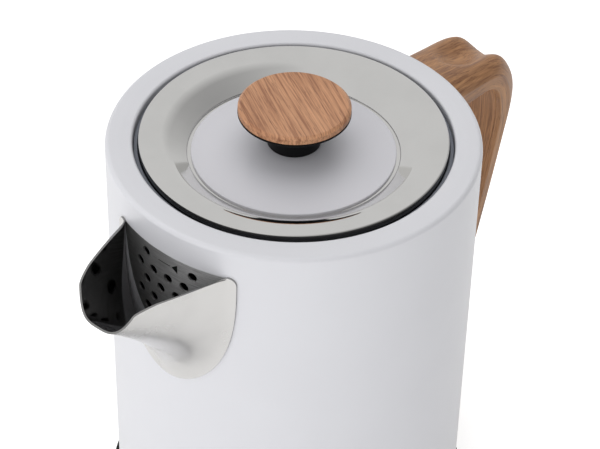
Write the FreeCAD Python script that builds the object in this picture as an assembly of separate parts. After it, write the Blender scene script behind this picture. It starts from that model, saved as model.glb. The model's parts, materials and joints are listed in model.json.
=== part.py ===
import FreeCAD, Part
import math
import os

# Cordless jug kettle on its power base, in millimetres. The origin is where the vertical axis of the jug
# meets the table, +Z is up, the handle is on +X and the spout on -X.

os.makedirs("parts", exist_ok=True)

# Jug body
BODY_R = 70.0            # outside of the round steel body
SHEET = 0.8              # its sheet
BASE_H = 17.0            # top of the power base, where the jug stands
RIM_Z = 194.0            # top of the rim
MOUTH_R = 59.7           # inside of the mouth
NECK_DEPTH = 12.0        # how far the mouth's wall turns down
RIM_ROUND = 1.9          # outer edge of the rim
BODY_FOOT_Z = 30.0       # lower edge of the steel body
FLOOR_Z = 44.0           # inside of the jug's floor

# Strainer holes behind the spout
HOLE_R = 1.95
HOLE_PITCH = 7.4
HOLE_TOP = 17.3          # first row below the rim
HOLE_ROWS = 7

# Spout
SPOUT_SHEET = 0.8
SPOUT_TOP = 12.3         # where its edges meet the body, below the rim
SPOUT_ROOT_HALF = 23.5   # half-width at the body, measured round the wall
SPOUT_ROOT_DROP = 50.0
FLANGE_HALF = 28.6
FLANGE_TOP = 11.8
FLANGE_DROP = 58.2
LIP_REACH = 106.3        # tip, from the jug's axis
LIP_BACK = 6.1           # how far the lip's corners stand behind its tip
LIP_HALF = 14.0
LIP_LOW = 22.7           # tip below the rim
LIP_RISE = 12.1          # corners above the tip

# Lid
LID_R = 57.7
LID_PROUD = 0.5          # its edge above the rim
DISC_R = 38.3            # white centre disc
DISC_DROP = 5.9          # disc's edge below the rim
PLUG_R = 55.6
PLUG_DEPTH = 14.0
SEAL_GAP = 0.3
KNOB_R = 20.9
KNOB_TOP = 15.0          # above the rim
KNOB_WOOD = 3.0
STEM_R = 10.4

# Handle: matching stations down its inner and its outer face, each a distance from the axis and a drop
# below the rim
INNER_FACE = [
    (60, 26.2), (72, 26.6), (88, 27.8), (98, 28.3), (104.3, 29.1), (109.3, 31.7), (112.8, 37.4), (114.5, 46),
    (112.8, 62), (108.5, 82.2), (103.7, 102.2), (98.2, 121), (91.7, 132.5), (84, 138.9), (77.5, 142),
    (70, 143.5), (60, 144),
]
OUTER_FACE = [
    (60, 10.4), (72, 12.3), (86.5, 14.7), (99, 17.2), (109.2, 18.9), (118.4, 21.4), (126.2, 29.2),
    (131.8, 39.1), (129.5, 59.4), (124.8, 79.6), (119.2, 99.8), (112.8, 119.7), (106.2, 136.6), (99.3, 152),
    (91.5, 162.2), (80, 166), (60, 166.5),
]
HANDLE_HALF = 16.3       # half-width at the top
HANDLE_FOOT_HALF = 14.6  # half-width at the foot
HANDLE_WALL = 2.5
ARM_SIDE = 0.46          # share of the thickness that the flat side takes, and how square the crown is
ARM_SQUARE = 5.2
GRIP_SIDE = 0.3          # the same down the grip, which is rounder
GRIP_SQUARE = 3.0
ROUNDER = (45.0, 90.0, 150.0, 185.0)
SCOOP_HALF = 10.5        # thumb rest
SCOOP_DEPTH = 4.6
SCOOP_FROM = 33.0        # where it starts, reaches its width and ends, along the handle's middle line
SCOOP_FULL = 42.0
SCOOP_TO = 72.0
GRIP_FROM = 60.0         # the handle narrows between these
GRIP_TO = 150.0
SECTION_STEP = 4.0
COVER_GAP = 0.1
COVER_T = 2.8
STEAM_Y = 10.0           # steam port into the handle
STEAM_DROP = 19.8
STEAM_PORT_R = 2.6
UPPER_SCREW_X = 79.0
LOWER_SCREW_X = 75.5

# Switch in the foot of the handle
SWITCH_X = 83.0
SWITCH_Z = 38.0
PADDLE_HALF = 7.0
PADDLE_TIP = 106.0
PADDLE_T = 3.6
PIN_R = 1.5
CHEEK_OUT = 9.5
BRIDGE_ARM = 8.0         # from the pivot back to the contact bridge
BRIDGE_UP = 2.6

# Power base
BASE_R = 74.0
BASE_WALL = 2.5
FOOT_H = 3.0
FOOT_R = 62.0
FOOT_W = 6.0
POST_R = 12.0
POST_TOP = 27.0
COLLAR_R = 15.0
COLLAR_H = 5.0
RUN = 0.05               # radial clearance of a running fit
CORD_Z = 7.7
CORD_R = 3.4
GLAND_R = 5.2
CLAMP_X = 56.0
CLAMP_Z = 11.0

# Lid parts that stack up under the knob
PAN_TOP = RIM_Z - DISC_DROP - 0.9
PAN_T = 0.8
STEM_Z = RIM_Z - DISC_DROP + 3.5

# Heater and screws under the jug
SPREADER_T = 3.0
ELEMENT_R = 40.0
ELEMENT_TUBE_R = 3.2
ELEMENT_OPEN = 60.0      # degrees
ELEMENT_PIN = 9.0        # length of its cold pins
STUD_AT = 55.0
PILLAR_TOP = 24.1
BASE_SCREW_AT = 48.0

Z_AXIS = FreeCAD.Vector(0, 0, 1)
STEAM_DISC_AT = FreeCAD.Vector(93, 0, RIM_Z - 143)
STEAM_DISC_WAY = FreeCAD.Vector(-0.25, 0, -0.97)


def vec(x, y, z):
    return FreeCAD.Vector(x, y, z)


def cylinder(r, z0, z1, x=0.0, y=0.0):
    return Part.makeCylinder(r, z1 - z0, vec(x, y, z0))


def ring(r_in, r_out, z0, z1):
    return cylinder(r_out, z0, z1).cut(cylinder(r_in, z0, z1))


def block(x0, x1, y0, y1, z0, z1):
    return Part.makeBox(x1 - x0, y1 - y0, z1 - z0, vec(x0, y0, z0))


def along_x(r, x0, x1, y, z):
    return Part.makeCylinder(r, x1 - x0, vec(x0, y, z), vec(1, 0, 0))


def along_y(r, half, x, z):
    return Part.makeCylinder(r, 2 * half, vec(x, -half, z), vec(0, 1, 0))


def outline(corners):
    """A closed wire in the XZ plane. A corner is (x, z) or, rounded, (x, z, radius)."""
    points = [vec(c[0], 0, c[1]) for c in corners]
    legs = []
    for i, corner in enumerate(corners):
        here = points[i]
        if len(corner) == 2:
            legs.append((here, None, here))
            continue
        back = (points[i - 1] - here).normalize()
        ahead = (points[(i + 1) % len(points)] - here).normalize()
        half = back.getAngle(ahead) / 2
        reach = corner[2] / math.tan(half)
        middle = here + (back + ahead).normalize() * (corner[2] / math.sin(half) - corner[2])
        legs.append((here + back * reach, middle, here + ahead * reach))
    edges = []
    for i, (start, middle, end) in enumerate(legs):
        if middle:
            edges.append(Part.Arc(start, middle, end).toShape())
        following = legs[(i + 1) % len(legs)][0]
        if (following - end).Length > 1e-6:
            edges.append(Part.LineSegment(end, following).toShape())
    return Part.Wire(edges)


def turned(corners):
    """The solid that the outline sweeps about the jug's axis."""
    return Part.Face(outline(corners)).revolve(vec(0, 0, 0), Z_AXIS, 360)


def round_the_axis(shape, count, first=0.0):
    """Copies of a shape, evenly spaced about the jug's axis."""
    copies = []
    for i in range(count):
        copy = shape.copy()
        copy.rotate(vec(0, 0, 0), Z_AXIS, first + 360 * i / count)
        copies.append(copy)
    return copies


def cut_all(shape, tools):
    for tool in tools:
        shape = shape.cut(tool)
    return shape


def fuse_all(shapes):
    whole = shapes[0]
    for shape in shapes[1:]:
        whole = whole.fuse(shape)
    return whole.removeSplitter()


def screw(x, y, z, length, shank_r=2.0, head_r=3.6, up=1):
    """A pan-head screw with a cross recess. Its head starts at z and the shank follows, upwards for up=1."""
    head_h = 0.55 * head_r
    way = vec(0, 0, up)
    head = Part.makeCylinder(head_r, head_h, vec(x, y, z), way)
    shank = Part.makeCylinder(shank_r, length, vec(x, y, z + head_h * up), way)
    deep = z + head_h * up / 2
    arm = 0.55 * head_r
    low, high = min(z, deep), max(z, deep)
    recess = block(x - 0.4, x + 0.4, y - arm, y + arm, low, high)
    recess = recess.fuse(block(x - arm, x + arm, y - 0.4, y + 0.4, low, high))
    return head.fuse(shank).cut(recess).removeSplitter()


def tube(points, bend, r_out, r_in=0.0):
    """A round tube along straight runs that are joined by arcs of one bend radius."""
    corners = [vec(*p) for p in points]
    edges = []
    start = corners[0]
    for i in range(1, len(corners) - 1):
        here = corners[i]
        back = (corners[i - 1] - here).normalize()
        ahead = (corners[i + 1] - here).normalize()
        half = back.getAngle(ahead) / 2
        reach = bend / math.tan(half)
        middle = here + (back + ahead).normalize() * (bend / math.sin(half) - bend)
        edges.append(Part.LineSegment(start, here + back * reach).toShape())
        edges.append(Part.Arc(here + back * reach, middle, here + ahead * reach).toShape())
        start = here + ahead * reach
    edges.append(Part.LineSegment(start, corners[-1]).toShape())
    path = Part.Wire(edges)
    way = corners[1] - corners[0]
    swept = []
    for r in (r_out, r_in):
        if r:
            section = Part.Wire(Part.Circle(corners[0], way, r).toShape())
            swept.append(path.makePipeShell([section], True, False))
    return cut_all(swept[0], swept[1:])


# ---------------------------------------------------------------- jug body and spout

def on_wall(arc, drop, r=BODY_R):
    """A point on the wall: arc is measured round it from the middle of the spout, drop below the rim."""
    turn = math.pi + arc / BODY_R
    return vec(r * math.cos(turn), r * math.sin(turn), RIM_Z - drop)


def spout_root_half(drop):
    """Half-width of the spout's root at a drop below the rim."""
    share = (drop - SPOUT_TOP) / SPOUT_ROOT_DROP
    return SPOUT_ROOT_HALF * (1 - share ** 2.8) ** 0.54


def strainer_holes():
    """Staggered rows of holes, all inside the spout. The first row leaves room for the level mark."""
    holes = []
    for row in range(HOLE_ROWS):
        drop = HOLE_TOP + row * HOLE_PITCH * math.sqrt(3) / 2
        shift = 0.5 if row % 2 == 0 else 0.0
        for column in range(-3, 4):
            arc = (column + shift) * HOLE_PITCH
            level_mark = row == 0 and abs(arc) < HOLE_PITCH
            if level_mark or abs(arc) > spout_root_half(drop) - 2 * HOLE_R - 2:
                continue
            start = on_wall(arc, drop, BODY_R - 4)
            way = on_wall(arc, drop, BODY_R + 4) - start
            holes.append(Part.makeCylinder(HOLE_R, 8, start, way))
    return holes


def jug_body():
    neck = RIM_Z - NECK_DEPTH
    inside = BODY_R - SHEET
    shell = turned([
        (BODY_R, BODY_FOOT_Z), (BODY_R, RIM_Z - 0.1, RIM_ROUND), (BODY_R - 5.4, RIM_Z, 12),
        (MOUTH_R, RIM_Z - 0.2, 1.2), (MOUTH_R, neck), (MOUTH_R + SHEET, neck),
        (MOUTH_R + SHEET, RIM_Z - 1.2, 0.4), (inside, RIM_Z - 1.2, RIM_ROUND - SHEET), (inside, BODY_FOOT_Z),
    ])
    steam_port = along_x(STEAM_PORT_R, BODY_R - 4, BODY_R + 4, STEAM_Y, RIM_Z - STEAM_DROP)
    return cut_all(shell, strainer_holes() + [steam_port])


def shield(half, top, drop, steps=24):
    """The rounded shield shape of the spout's flange, as a prism along X that crosses the -X wall."""
    right = []
    for i in range(steps + 1):
        turn = math.pi / 2 * i / steps
        arc = half * math.sin(turn) ** 1.08
        z = RIM_Z - top - drop * math.cos(turn) ** 0.714
        right.append(vec(-BODY_R - 12, BODY_R * math.sin(arc / BODY_R), z))
    left = [vec(p.x, -p.y, p.z) for p in right[1:]]
    lower = Part.BSplineCurve()
    lower.interpolate(list(reversed(left)) + right)
    top_edge = Part.LineSegment(right[-1], left[-1])
    return Part.Face(Part.Wire([lower.toShape(), top_edge.toShape()])).extrude(vec(40, 0, 0))


def spout_flange():
    sheet = ring(BODY_R, BODY_R + SPOUT_SHEET, RIM_Z - 80, RIM_Z)
    outer = shield(FLANGE_HALF, FLANGE_TOP, FLANGE_DROP)
    inner = shield(SPOUT_ROOT_HALF - SPOUT_SHEET, SPOUT_TOP - 3, SPOUT_ROOT_DROP + 3 - SPOUT_SHEET)
    return sheet.common(outer).cut(inner)


def root_point(s):
    turn = math.pi / 2 * abs(s)
    arc = math.copysign(SPOUT_ROOT_HALF * math.sin(turn) ** 1.08, s)
    return on_wall(arc, SPOUT_TOP + SPOUT_ROOT_DROP * math.cos(turn) ** 0.714)


def lip_point(s):
    x = -(LIP_REACH - LIP_BACK * abs(s) ** 2.9)
    return vec(x, -LIP_HALF * s, RIM_Z - LIP_LOW + LIP_RISE * abs(s) ** 3.6)


def spout_horn(steps=32):
    """The open channel: straight lines from the body to the lip, as a sheet with its own thickness."""
    stations = [-1 + 2 * i / steps for i in range(steps + 1)]
    curves = {"root": [], "root_in": [], "lip": [], "lip_in": []}
    for s in stations:
        root = root_point(s)
        lip = lip_point(s)
        near = max(-1.0, s - 0.02)
        far = min(1.0, s + 0.02)
        for name, here, place in (("root", root, root_point), ("lip", lip, lip_point)):
            inward = (place(far) - place(near)).cross(lip - root).normalize()
            if inward.dot(vec(0, -here.y, 60)) < 0:
                inward = inward * -1
            curves[name].append(here)
            curves[name + "_in"].append(here + inward * SPOUT_SHEET)
    edges = {}
    for name, points in curves.items():
        curve = Part.BSplineCurve()
        curve.interpolate(points)
        edges[name] = curve.toShape()
    faces = [Part.makeRuledSurface(edges[a], edges[b]) for a, b in (
        ("root", "lip"), ("root_in", "lip_in"), ("root", "root_in"), ("lip", "lip_in"))]
    for end in (0, -1):
        loop = [curves["root"][end], curves["lip"][end], curves["lip_in"][end], curves["root_in"][end]]
        side_a = Part.LineSegment(loop[0], loop[1]).toShape()
        side_b = Part.LineSegment(loop[3], loop[2]).toShape()
        faces.append(Part.makeRuledSurface(side_a, side_b))
    shell = Part.Shell(faces)
    shell.sewShape()
    solid = Part.Solid(shell)
    if solid.Volume < 0:
        solid.reverse()
    return solid


def spout():
    whole = spout_horn().fuse(spout_flange())
    return whole.cut(cylinder(BODY_R, RIM_Z - 90, RIM_Z + 5))


def jug_skirt():
    """Black plastic foot of the jug, with a spigot up inside the steel body and three screw pillars."""
    inside = BODY_R - SHEET - 0.1
    plate = BASE_H + 2.5
    shell = turned([
        (24, BASE_H), (67, BASE_H, 1.0), (BODY_R, BASE_H + 6, 4), (BODY_R, BODY_FOOT_Z),
        (inside, BODY_FOOT_Z), (inside, 37), (inside - 2.2, 37), (inside - 2.2, 24, 3), (64.5, plate, 2),
        (24, plate),
    ])
    pillars = round_the_axis(cylinder(5.5, plate, PILLAR_TOP, STUD_AT), 3, 60)
    hole = cylinder(2.1, BASE_H, PILLAR_TOP, STUD_AT).fuse(cylinder(3.8, BASE_H, BASE_H + 2.7, STUD_AT))
    return cut_all(fuse_all([shell] + pillars), round_the_axis(hole, 3, 60))


def jug_floor():
    """Steel floor welded into the body, with three studs for the foot's screws."""
    r = BODY_R - SHEET - 0.05
    low = FLOOR_Z - 1
    pan = turned([(0, low), (r - 1, low, 2), (r - 1, 37.5), (r, 37.5), (r, FLOOR_Z, 3), (0, FLOOR_Z)])
    foot = PILLAR_TOP + 0.1
    stud = cylinder(3.5, foot, low, STUD_AT).cut(cylinder(2.0, foot, 35, STUD_AT))
    return fuse_all([pan] + round_the_axis(stud, 3, 60))


def heat_spreader():
    return cylinder(46, FLOOR_Z - 1 - SPREADER_T, FLOOR_Z - 1)


def heating_element():
    """Sheathed ring, open towards +Y, with a cold pin down from each end."""
    z = FLOOR_Z - 1 - SPREADER_T - ELEMENT_TUBE_R
    circle = Part.Circle(vec(ELEMENT_R, 0, z), vec(0, 1, 0), ELEMENT_TUBE_R)
    sheath = Part.Face(Part.Wire(circle.toShape())).revolve(vec(0, 0, 0), Z_AXIS, 360 - ELEMENT_OPEN)
    sheath.rotate(vec(0, 0, 0), Z_AXIS, 90 + ELEMENT_OPEN / 2)
    pins = []
    for turn in (90 - ELEMENT_OPEN / 2 - 3, 90 + ELEMENT_OPEN / 2 + 3):
        pin = cylinder(1.5, z - ELEMENT_PIN, z, ELEMENT_R)
        pin.rotate(vec(0, 0, 0), Z_AXIS, turn)
        pins.append(pin)
    return fuse_all([sheath] + pins)


def control_housing():
    """Thermal control under the floor, with a round well for the connector."""
    body = turned([(17.6, 21), (31, 21, 2), (33, 30, 2), (33, 36.5, 2), (0, 36.5), (0, 31), (17.6, 31)])
    return cut_all(body, [cylinder(7, 35.5, 37, x, -20) for x in (-9, 9)])


def bimetal_discs():
    """Two snap discs that feel the floor's heat."""
    return Part.makeCompound([cylinder(6.5, 35.8, 36.3, x, -20) for x in (-9, 9)])


def connector_socket():
    """Plastic ring that the base's collar enters, with the contact carrier across its top."""
    inside = COLLAR_R + 0.3
    return turned([
        (0, 28.5), (inside, 28.5), (inside, 19.6), (23.5, 19.6), (23.5, 20.9), (17.5, 20.9), (17.5, 30.9),
        (0, 30.9),
    ])


def socket_contacts():
    """Pin sleeve and ring contact on the jug's side of the connector."""
    return Part.makeCompound([ring(2.1, 3.2, 20, 28.4), ring(6.9, 7.7, 20, 28.4)])


def control_blades():
    """Two copper blades that carry current from the control to the heater's pins."""
    z = FLOOR_Z - 1 - SPREADER_T - ELEMENT_TUBE_R - ELEMENT_PIN
    blades = []
    for turn in (90 - ELEMENT_OPEN / 2 - 3, 90 + ELEMENT_OPEN / 2 + 3):
        blade = block(33.1, 43, -3, 3, z - 0.8, z)
        blade.rotate(vec(0, 0, 0), Z_AXIS, turn)
        blades.append(blade)
    return Part.makeCompound(blades)


def skirt_screws():
    return Part.makeCompound(round_the_axis(screw(STUD_AT, 0, BASE_H + 0.6, 14), 3, 60))


# ---------------------------------------------------------------- lid

def lid_ring():
    """Polished dished ring of the lid, with a flat pan under the centre disc."""
    edge = RIM_Z + LID_PROUD
    low = PAN_TOP - PAN_T
    return turned([
        (LID_R, RIM_Z - 3.4), (LID_R, edge, 0.8), (LID_R - 1.7, edge - 0.15, 0.6),
        (DISC_R + 1.3, PAN_TOP + 0.5, 1.0), (DISC_R + 1.3, PAN_TOP), (2.3, PAN_TOP), (2.3, low),
        (DISC_R + 0.7, low), (LID_R - 1.7, edge - 0.95, 0.5), (LID_R - 0.8, edge - 0.9),
        (LID_R - 0.8, RIM_Z - 3.4),
    ])


def lid_disc():
    """White centre disc, rising a little towards the knob."""
    edge = RIM_Z - DISC_DROP
    top = STEM_Z - 0.1
    return turned([(3, PAN_TOP), (DISC_R, PAN_TOP), (DISC_R, edge, 0.4), (STEM_R + 2, top, 30), (3, top)])


def lid_plug():
    """Hollow inner cup that fills the mouth, with a groove for the seal."""
    top = RIM_Z - 3.4
    foot = RIM_Z - PLUG_DEPTH
    return turned([
        (PLUG_R - 2.5, top), (LID_R - 0.1, top), (LID_R - 0.1, top - 1.5), (PLUG_R - 1, top - 1.5),
        (PLUG_R - 1, foot + 3.5), (PLUG_R, foot + 3.5), (PLUG_R, foot, 1.5), (0, foot), (0, foot + 1.5),
        (PLUG_R - 2.5, foot + 1.5, 1.0),
    ])


def lid_seal():
    """Soft seal ring round the plug, with two lips and a collar that stands up in the gap round the lid."""
    top = RIM_Z - 5.0
    low = RIM_Z - PLUG_DEPTH + 3.6
    middle = (top + low) / 2
    tip = MOUTH_R - SEAL_GAP
    inside = PLUG_R - 0.95
    return turned([
        (inside, low), (PLUG_R + 1, low), (tip, low + 0.9, 0.4), (tip, low + 1.8, 0.4),
        (PLUG_R + 1.6, middle, 0.8), (tip, top - 1.8, 0.4), (tip, RIM_Z - 2.9, 0.3),
        (LID_R + 0.25, RIM_Z - 2.5, 0.3), (LID_R + 0.25, top), (inside, top),
    ])


def knob_stem():
    """Black flared stem with a cup that holds the wooden disc."""
    under = RIM_Z + KNOB_TOP - KNOB_WOOD
    rim = KNOB_R + 0.1
    body = turned([
        (0, STEM_Z), (STEM_R - 0.4, STEM_Z, 0.6), (STEM_R, STEM_Z + 5, 6), (STEM_R + 2.2, under - 3.6, 5),
        (rim, under - 0.8, 0.3), (rim, under), (0, under),
    ])
    return body.cut(cylinder(2.0, STEM_Z, under - 3))


def knob_cap():
    """Wooden disc of the knob, its top edge chamfered."""
    top = RIM_Z + KNOB_TOP
    low = top - KNOB_WOOD
    return turned([(0, low), (KNOB_R, low), (KNOB_R, top - 1.0, 0.3), (KNOB_R - 1.1, top, 0.6), (0, top)])


def knob_washer():
    return ring(2.2, 7, PAN_TOP - PAN_T - 0.6, PAN_TOP - PAN_T)


def knob_screw():
    """Up through the lid into the stem."""
    head_h = 0.55 * 3.6
    return screw(0, 0, PAN_TOP - PAN_T - 0.6 - head_h, 14)


# ---------------------------------------------------------------- handle

def line(a, b):
    return Part.LineSegment(a, b).toShape()


def middle_distances():
    """How far along the handle's middle line each station lies."""
    distances = [0.0]
    middles = [((a[0] + b[0]) / 2, (a[1] + b[1]) / 2) for a, b in zip(INNER_FACE, OUTER_FACE)]
    for here, following in zip(middles, middles[1:]):
        distances.append(distances[-1] + math.dist(here, following))
    return distances


STATION_AT = middle_distances()


def rail(points, parameters):
    curve = Part.BSplineCurve()
    curve.interpolate(Points=points, Parameters=parameters)
    return curve


def face_curve(stations):
    return rail([vec(x, 0, RIM_Z - drop) for x, drop in stations], STATION_AT)


INNER_CURVE = face_curve(INNER_FACE)
OUTER_CURVE = face_curve(OUTER_FACE)


def eased(t, t0, t1, a, b):
    """From a at t0 to b at t1, smoothly."""
    share = max(0.0, min(1.0, (t - t0) / (t1 - t0)))
    return a + (b - a) * share ** 2 * (3 - 2 * share)


def half_width(t):
    """The handle narrows a little down the grip."""
    return eased(t, GRIP_FROM, GRIP_TO, HANDLE_HALF, HANDLE_FOOT_HALF)


def scoop(t, w):
    """Depth of the thumb rest at a distance along the handle and a distance from its middle plane."""
    if not SCOOP_FROM < t < SCOOP_TO:
        return 0.0
    share = (t - SCOOP_FROM) / (SCOOP_TO - SCOOP_FROM)
    deep = SCOOP_DEPTH * math.sin(math.pi * share ** 0.75) ** 1.3
    reach = min(1.0, (t - SCOOP_FROM) / (SCOOP_FULL - SCOOP_FROM))
    half = SCOOP_HALF * math.sqrt(reach * (2 - reach))
    if abs(w) >= half:
        return 0.0
    return deep * (1 - (abs(w) / half) ** 2) ** 2


def crown(t, w, thick):
    """Height of the outer surface above the inner face."""
    rounder = eased(t, *ROUNDER[:2], 0.0, 1.0) - eased(t, *ROUNDER[2:], 0.0, 1.0)
    side = ARM_SIDE + (GRIP_SIDE - ARM_SIDE) * rounder
    arch = 1 - (abs(w) / half_width(t)) ** (ARM_SQUARE + (GRIP_SQUARE - ARM_SQUARE) * rounder)
    return thick * (side + (1 - side) * arch) - scoop(t, w)


def section_place(t):
    """A function that puts a height and a sideways distance into space at t, and the thickness there."""
    start = INNER_CURVE.value(t)
    across = OUTER_CURVE.value(t) - start
    thick = across.Length
    way = across.normalize()
    return (lambda h, w: start + way * h + vec(0, w, 0)), thick


def crown_line(place, t, thick, half, less, steps=20):
    """Points across the crown, from one side to the other, moved down by less."""
    widths = [-half + 2 * half * i / steps for i in range(steps + 1)]
    return [place(crown(t, w, thick) - less, w) for w in widths]


def shell_section(t):
    """Upside-down U, as strips of points: two flat sides, the crown, and the hollow inside."""
    place, thick = section_place(t)
    half = half_width(t)
    inner = half - HANDLE_WALL
    outer_line = crown_line(place, t, thick, half, 0)
    inner_line = crown_line(place, t, thick, inner, HANDLE_WALL)
    foot = [place(0, w) for w in (-half, half, inner, -inner)]
    return [[foot[0], outer_line[0]], outer_line, [outer_line[-1], foot[1]], [foot[1], foot[2]],
            [foot[2], inner_line[-1]], inner_line[::-1], [inner_line[0], foot[3]], [foot[3], foot[0]]]


def cover_section(t):
    place, _ = section_place(t)
    half = half_width(t) - HANDLE_WALL - COVER_GAP
    corners = [place(0, -half), place(COVER_T, -half), place(COVER_T, half), place(0, half)]
    return [[corners[i - 1], corners[i]] for i in range(4)]


def skin(rows, parameters):
    """A surface through rows of points: smooth along the handle, and across it straight or smooth."""
    rails = [rail([row[j] for row in rows], parameters) for j in range(len(rows[0]))]
    poles = [list(across) for across in zip(*[r.getPoles() for r in rails])]
    knots, mults, degree = [0.0, 1.0], [2, 2], 1
    if len(rails) > 2:
        steps = [float(i) for i in range(len(rails))]
        lines = [rail(across, steps) for across in poles]
        poles = [each.getPoles() for each in lines]
        knots, mults, degree = lines[0].getKnots(), lines[0].getMultiplicities(), 3
    surface = Part.BSplineSurface()
    surface.buildFromPolesMultsKnots(
        poles, rails[0].getMultiplicities(), mults, rails[0].getKnots(), knots, False, False, 3, degree)
    return surface.toShape()


def end_face(strips):
    edges = []
    for strip in strips:
        steps = [float(i) for i in range(len(strip))]
        edges.append(line(*strip) if len(strip) == 2 else rail(strip, steps).toShape())
    return Part.Face(Part.Wire(edges))


def handle_loft(section):
    """The solid through the sections, trimmed to the body's wall."""
    count = round(STATION_AT[-1] / SECTION_STEP)
    parameters = [STATION_AT[-1] * i / count for i in range(count + 1)]
    sections = [section(t) for t in parameters]
    faces = [skin([strips[k] for strips in sections], parameters) for k in range(len(sections[0]))]
    shell = Part.Shell(faces + [end_face(sections[0]), end_face(sections[-1])])
    shell.sewShape()
    whole = Part.Solid(shell)
    if whole.Volume < 0:
        whole.reverse()
    return whole.cut(cylinder(BODY_R + 0.02, 0, RIM_Z + 10))


def handle_shell():
    """Outer half of the handle, with a slot for the switch paddle and a screw boss in the foot."""
    slot_half = PADDLE_HALF + 0.6
    slot = block(87, 106, -slot_half, slot_half, SWITCH_Z - 6.5, SWITCH_Z + 3.5)
    boss = cylinder(4.6, 28.5, 31.3, LOWER_SCREW_X)
    recess = cylinder(3.0, 20, 29.9, LOWER_SCREW_X)
    hole = cylinder(1.7, 20, 32, LOWER_SCREW_X)
    return handle_loft(shell_section).fuse(boss).cut(slot).cut(recess).cut(hole)


def handle_cover():
    """Inner half of the handle, with a screw boss under the upper bracket."""
    low = RIM_Z - 27.2
    boss = cylinder(5.2, low + 1, low + 3.6, UPPER_SCREW_X)
    recess = cylinder(3.2, low - 3, low + 2.0, UPPER_SCREW_X)
    hole = cylinder(1.9, low - 3, low + 5, UPPER_SCREW_X)
    return handle_loft(cover_section).fuse(boss).cut(recess).cut(hole)


def bracket(z_low, z_high, tongue_z, reach, hole_x, half):
    """Steel bracket welded to the wall: a curved pad and a tongue with a screw hole."""
    pad = ring(BODY_R + 0.02, BODY_R + 1.2, z_low, z_high).common(block(60, 80, -half, half, z_low, z_high))
    tongue = block(BODY_R + 0.5, reach, -6, 6, tongue_z, tongue_z + 1.2)
    return pad.fuse(tongue).cut(cylinder(1.7, z_low - 5, z_high + 5, hole_x)).removeSplitter()


def upper_bracket():
    return bracket(RIM_Z - 23.4, RIM_Z - 17, RIM_Z - 23.4, 87, UPPER_SCREW_X, 7.5)


def lower_bracket():
    return bracket(31.5, 45, 31.5, 79.5, LOWER_SCREW_X, 8)


def handle_screws():
    upper = screw(UPPER_SCREW_X, 0, RIM_Z - 27, 6.2, 1.6, 3.0)
    lower = screw(LOWER_SCREW_X, 0, 28.2, 3.4, 1.6, 2.8)
    return Part.makeCompound([upper, lower])


def steam_tube():
    """Silicone tube from the steam port, round the corner and down the grip."""
    route = [(BODY_R + 0.1, STEAM_DROP), (107, 24), (121.8, 32), (122.3, 46), (105.6, 114)]
    return tube([(x, STEAM_Y, RIM_Z - drop) for x, drop in route], 9, 2.0, 1.4)


def steam_disc():
    """Snap disc that the steam trips."""
    return Part.makeCylinder(4.6, 0.5, STEAM_DISC_AT, STEAM_DISC_WAY)


def steam_disc_carrier():
    """The ring that holds it."""
    ring_solid = Part.makeCylinder(5.8, 1.6, STEAM_DISC_AT - STEAM_DISC_WAY * 0.5, STEAM_DISC_WAY)
    return ring_solid.cut(Part.makeCylinder(4.6, 4, STEAM_DISC_AT - STEAM_DISC_WAY * 2, STEAM_DISC_WAY))


# ---------------------------------------------------------------- switch

def switch_lever():
    """Paddle, hub and inner arm in one moulding."""
    z = SWITCH_Z
    hub_r = 3.4
    profile = outline([
        (SWITCH_X - 9.5, z - 1.0, 0.8), (SWITCH_X - 9.5, z + 1.6, 0.8), (SWITCH_X, z + hub_r, 3),
        (SWITCH_X + 8, z + PADDLE_T / 2, 8), (PADDLE_TIP, z + 0.8, 1.5),
        (PADDLE_TIP, z - PADDLE_T + 0.2, 1.5), (SWITCH_X + 8, z - PADDLE_T / 2 - 0.6, 8),
        (SWITCH_X, z - hub_r, 3),
    ])
    paddle = Part.Face(profile).extrude(vec(0, 2 * PADDLE_HALF, 0))
    paddle.translate(vec(0, -PADDLE_HALF, 0))
    return paddle.cut(along_y(PIN_R + RUN, PADDLE_HALF + 1, SWITCH_X, z))


def switch_pin():
    return along_y(PIN_R, CHEEK_OUT, SWITCH_X, SWITCH_Z)


def switch_bracket():
    """Two cheeks that hold the pin, joined by a bar behind the hub."""
    cheek_in = PADDLE_HALF + 0.5
    cheeks = []
    for side in (-1, 1):
        y0, y1 = sorted((side * cheek_in, side * CHEEK_OUT))
        cheek = block(SWITCH_X - 5, SWITCH_X + 3.8, y0, y1, SWITCH_Z - 2.6, SWITCH_Z + 7)
        cheeks.append(cheek)
    bar = block(SWITCH_X + 1.8, SWITCH_X + 3.8, -CHEEK_OUT, CHEEK_OUT, SWITCH_Z + 5, SWITCH_Z + 7)
    return fuse_all(cheeks + [bar]).cut(along_y(PIN_R, CHEEK_OUT + 1, SWITCH_X, SWITCH_Z))


def contact_bridge():
    """Small slider that the lever's inner arm lifts to close the circuit."""
    x = SWITCH_X - BRIDGE_ARM
    z = SWITCH_Z + BRIDGE_UP
    return block(x - 1.5, x + 1.5, -6.9, 6.9, z, z + 2.6)


def contact_rails():
    """Two fixed contacts above the bridge, one at each end, on the bracket's side."""
    x = SWITCH_X - BRIDGE_ARM
    z = SWITCH_Z + BRIDGE_UP
    rails = []
    for side in (-1, 1):
        y0, y1 = sorted((side * 7.3, side * 9.0))
        rails.append(block(x - 1.5, x + 1.5, y0, y1, z, z + 5.2))
    return Part.makeCompound(rails)


# ---------------------------------------------------------------- power base

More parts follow.
